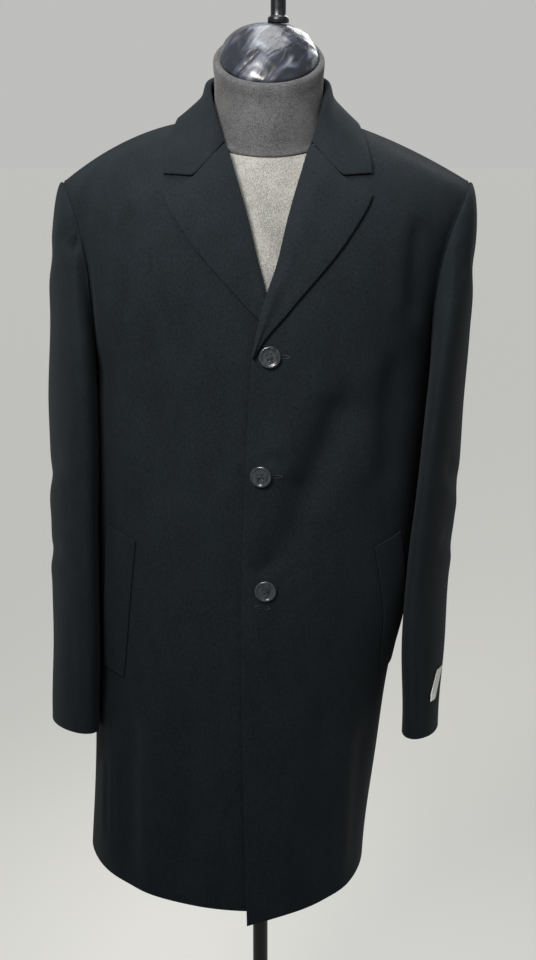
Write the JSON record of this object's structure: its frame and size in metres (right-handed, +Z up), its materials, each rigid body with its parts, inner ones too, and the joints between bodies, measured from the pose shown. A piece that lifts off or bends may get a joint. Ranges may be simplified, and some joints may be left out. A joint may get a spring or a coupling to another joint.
{
  "type": "topcoat on a limbless dress form",
  "caption": "Single-breasted knee-length wool topcoat with notch lapels and slanted welt pockets, buttoned on a limbless dress form on a round stand",
  "frame": {"origin": "centre of the underside of the stand's round base, on the floor", "axes": "+Z up along the pole, -Y out of the coat's buttoned front, +X towards the wearer's left sleeve"},
  "size_m": [0.5213, 0.332, 1.666],
  "materials": {
    "wool": "matt black wool with a short nap",
    "jersey": "heathered grey jersey",
    "horn": "polished dark grey, four holes",
    "label_weave": "plain woven tape, bare of words",
    "dark_gloss": "dark gloss with a crinkled clear film over it",
    "black_paint": "satin black enamel",
    "steel": "brushed"
  },
  "bodies": {
    "root": {"front_left": "wool", "front_right": "wool", "back_left": "wool", "back_right": "wool", "collar": "wool", "lapel_left": "wool", "lapel_right": "wool", "welt_left": "wool", "welt_right": "wool", "sleeve_left_top": "wool", "sleeve_left_under": "wool", "sleeve_right_top": "wool", "sleeve_right_under": "wool", "button_top": "horn", "button_middle": "horn", "button_lower": "horn", "sleeve_label": "label_weave", "form_torso": "jersey", "form_neck": "jersey", "neck_cap": "dark_gloss", "neck_finial": "steel", "stand_pole": "black_paint", "stand_base": "black_paint"}
  },
  "joints": []
}
